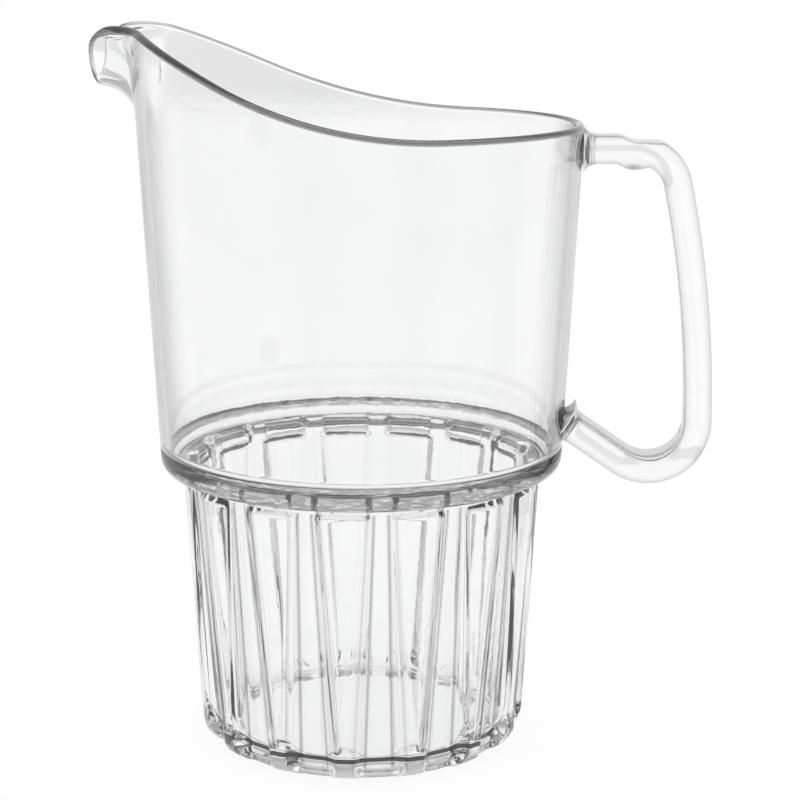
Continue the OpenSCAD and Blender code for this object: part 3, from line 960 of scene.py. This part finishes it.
def clear_plastic(name, look, ripple, peel, depth, patch, slope):
    """Clear moulded plastic: scales of ripple, peel and haze, depth of the ripple, onset of the painted
    outline shade.
    """
    if name in bpy.data.materials:
        return bpy.data.materials[name]
    material = bpy.data.materials.new(name)
    tree = empty_tree(material)
    place = node(tree, "ShaderNodeTexCoord").outputs["Object"]
    skin = node(tree, "ShaderNodeGroup", node_tree=moulding_ripple(), Vector=place, Ripple_Scale=ripple,
                Peel_Scale=peel)
    bump = node(tree, "ShaderNodeBump", Strength=1.0, Distance=depth, Height=skin.outputs["Height"])
    wear = node(tree, "ShaderNodeGroup", node_tree=washing_wear(), Vector=place, Patch_Scale=patch,
                Clean_Colour=(*look.clear, 1.0), Haze_Colour=(*look.haze, 1.0), Clean_Roughness=look.gloss,
                Worn_Roughness=look.worn)
    shade_streak_group = node(tree, "ShaderNodeGroup", node_tree=painted_shade_streaks(), Vector=place,
                Amount=attribute(tree, "streak"))
    # Painted shade: only skin that is seen from outside is darkened, in streaks, along edges and where it is
    # seen edge on.
    outer = maths(tree, "SUBTRACT", 1.0, node(tree, "ShaderNodeNewGeometry").outputs["Backfacing"])
    slant = node(tree, "ShaderNodeLayerWeight", Blend=0.5).outputs["Facing"]
    outline = spread(tree, slant, low=slope, high=1.0, interpolation_type="SMOOTHSTEP", To_Max=look.outline_shade)
    edges = maths(tree, "MULTIPLY", outer, maths(tree, "MAXIMUM", outline, attribute(tree, "painted_edge_shade")))
    streaks = maths(tree, "MULTIPLY", outer, shade_streak_group.outputs["Mask"])
    tint = blend(tree, "RGBA", streaks, wear.outputs["Colour"], (*look.shade, 1.0))
    tint = blend(tree, "RGBA", edges, tint, (*look.edge, 1.0))
    rough = blend(tree, "FLOAT", attribute(tree, "scuff"), wear.outputs["Roughness"], look.scuff)
    plastic = node(tree, "ShaderNodeBsdfPrincipled", Base_Color=tint, Roughness=rough,
                   Normal=bump.outputs["Normal"], IOR=look.index, Metallic=0.0,
                   Transmission_Weight=look.through)
    node(tree, "ShaderNodeOutputMaterial", Surface=plastic.outputs["BSDF"])
    return material


def barrel_plastic(look):
    """Plastic of the smooth barrel and spout."""
    return clear_plastic("clear_barrel", look, ripple=34.0, peel=420.0, depth=6e-5, patch=26.0, slope=0.5)


def shoulder_plastic(look):
    """Plastic of the thick shoulder, whose mesh asks for streaks of painted shade."""
    return clear_plastic("clear_shoulder", look, ripple=60.0, peel=420.0, depth=8e-5, patch=26.0, slope=0.5)


def base_plastic(look):
    """Plastic of the fluted base, with a livelier skin from the many faces of its mould."""
    return clear_plastic("clear_base", look, ripple=70.0, peel=520.0, depth=4e-5, patch=38.0, slope=0.85)


def handle_plastic(look):
    """Plastic of the solid handle, which sinks a little as it cools."""
    return clear_plastic("clear_handle", look, ripple=55.0, peel=480.0, depth=9e-5, patch=44.0, slope=0.0)


def studio_world(stage):
    """White studio. Light bent by the plastic sees panels with grey gaps, a backdrop and a dark ceiling."""
    world = bpy.data.worlds.new("white_studio")
    tree = empty_tree(world)
    way = node(tree, "ShaderNodeTexCoord").outputs["Generated"]
    part = node(tree, "ShaderNodeSeparateXYZ", Vector=way).outputs
    bearing = maths(tree, "ARCTAN2", part["X"], part["Y"])
    wave = maths(tree, "COSINE", maths(tree, "MULTIPLY", bearing, stage.panels))
    panel = spread(tree, wave, *PANEL_EDGE, interpolation_type="SMOOTHSTEP", To_Min=stage.flag)
    bands = node(tree, "ShaderNodeValToRGB", Fac=spread(tree, part["Z"], low=-1.0, high=1.0))
    # Degrees above the level, and the grey there.
    stops = (
        (-20.0, stage.under), (-17.0, 1.0), (-4.7, 1.0), (-4.2, stage.backdrop), (1.0, stage.backdrop),
        (4.0, 1.0), (24.0, 1.0), (34.0, stage.ceiling),
    )
    while len(bands.color_ramp.elements) < len(stops):
        bands.color_ramp.elements.new(0.5)
    for stop, (angle, grey) in zip(bands.color_ramp.elements, stops):
        stop.position = 0.5 + 0.5 * sin(radians(angle))
        stop.color = (grey, grey, grey, 1.0)
    pattern = maths(tree, "MULTIPLY", panel, bands.outputs["Color"])
    path = node(tree, "ShaderNodeLightPath").outputs
    direct = maths(tree, "LESS_THAN", path["Diffuse Depth"], 0.5)
    bent = maths(tree, "MULTIPLY", path["Is Transmission Ray"], direct)
    white = node(tree, "ShaderNodeBackground", Color=(1.0, 1.0, 1.0, 1.0), Strength=1.0)
    seen = node(tree, "ShaderNodeBackground", Color=pattern, Strength=1.0)
    joined = node(tree, "ShaderNodeMixShader", Fac=bent)
    feed(tree, joined.inputs[1], white.outputs["Background"])
    feed(tree, joined.inputs[2], seen.outputs["Background"])
    node(tree, "ShaderNodeOutputWorld", Surface=joined.outputs["Shader"])
    return world


def floor_paint(stage):
    """White studio floor with a faint grain, which gives most of its light by itself."""
    material = bpy.data.materials.new("studio_floor")
    tree = empty_tree(material)
    place = node(tree, "ShaderNodeTexCoord").outputs["Object"]
    grain = noise(tree, place, scale=60.0, detail=3.0, roughness=0.5)
    tone = spread(tree, grain, low=0.0, high=1.0, To_Min=stage.floor_dark, To_Max=stage.floor_light)
    paint = node(tree, "ShaderNodeBsdfDiffuse", Color=tone)
    glow = node(tree, "ShaderNodeEmission", Strength=stage.floor_glow)
    both = node(tree, "ShaderNodeAddShader")
    feed(tree, both.inputs[0], paint.outputs["BSDF"])
    feed(tree, both.inputs[1], glow.outputs["Emission"])
    node(tree, "ShaderNodeOutputMaterial", Surface=both.outputs["Shader"])
    return material


class PITCHER_OT_stage(bpy.types.Operator):
    """Make the white studio, its floor and the camera"""

    bl_idname = "pitcher.make_stage"
    bl_label = "Studio"
    bl_options = {"REGISTER", "UNDO"}

    def execute(self, context):
        scene = context.scene
        stage = scene.pitcher.stage
        camera = bpy.data.cameras.new("photo_camera")
        camera.sensor_width = 36.0
        camera.lens = stage.lens
        camera.clip_start = 0.01
        eye = bpy.data.objects.new("photo_camera", camera)
        eye.location = stage.eye
        eye.rotation_euler = (stage.pitch, stage.roll, stage.yaw)
        scene.collection.objects.link(eye)
        scene.camera = eye
        scene.world = studio_world(stage)
        scene.view_settings.view_transform = "Standard"
        bm = bmesh.new()
        bmesh.ops.create_circle(bm, cap_ends=True, segments=FLOOR_SEGMENTS, radius=stage.floor_r)
        bmesh.ops.translate(bm, verts=bm.verts[:], vec=(0, 0, -FLOOR_DROP))
        mesh = bpy.data.meshes.new("studio_floor")
        bm.to_mesh(mesh)
        bm.free()
        mesh.materials.append(floor_paint(stage))
        floor = bpy.data.objects.new("studio_floor", mesh)
        scene.collection.objects.link(floor)
        return {"FINISHED"}


class PITCHER_PT_panel(bpy.types.Panel):
    """Lists the steps that make the pitcher"""

    bl_idname = "PITCHER_PT_panel"
    bl_label = "Beer Pitcher"
    bl_space_type = "VIEW_3D"
    bl_region_type = "UI"
    bl_category = "Pitcher"

    def draw(self, context):
        for step in STEPS:
            self.layout.operator(step.bl_idname)
        p = context.scene.pitcher
        for group in (p.barrel, p.spout, p.base, p.handle, p.look, p.stage):
            box = self.layout.box()
            for prop in group.bl_rna.properties:
                if prop.identifier not in {"rna_type", "name"}:
                    box.prop(group, prop.identifier)


STEPS = (PITCHER_OT_stage, PITCHER_OT_barrel, PITCHER_OT_shoulder, PITCHER_OT_base, PITCHER_OT_handle)
CLASSES = (PitcherBarrelSizes, PitcherSpoutSizes, PitcherBaseSizes, PitcherHandleSizes, PitcherLook,
           PitcherStage, PitcherSettings, *STEPS, PITCHER_PT_panel)


def register():
    """Adds the classes and the settings."""
    for cls in CLASSES:
        bpy.utils.register_class(cls)
    bpy.types.Scene.pitcher = PointerProperty(type=PitcherSettings)


def unregister():
    """Takes them away again."""
    del bpy.types.Scene.pitcher
    for cls in reversed(CLASSES):
        bpy.utils.unregister_class(cls)


def main():
    """Makes the studio and every piece in order."""
    register()
    bpy.ops.pitcher.make_stage()
    bpy.ops.pitcher.make_barrel()
    bpy.ops.pitcher.make_shoulder()
    bpy.ops.pitcher.make_base()
    bpy.ops.pitcher.make_handle()


if __name__ == "__main__":
    main()
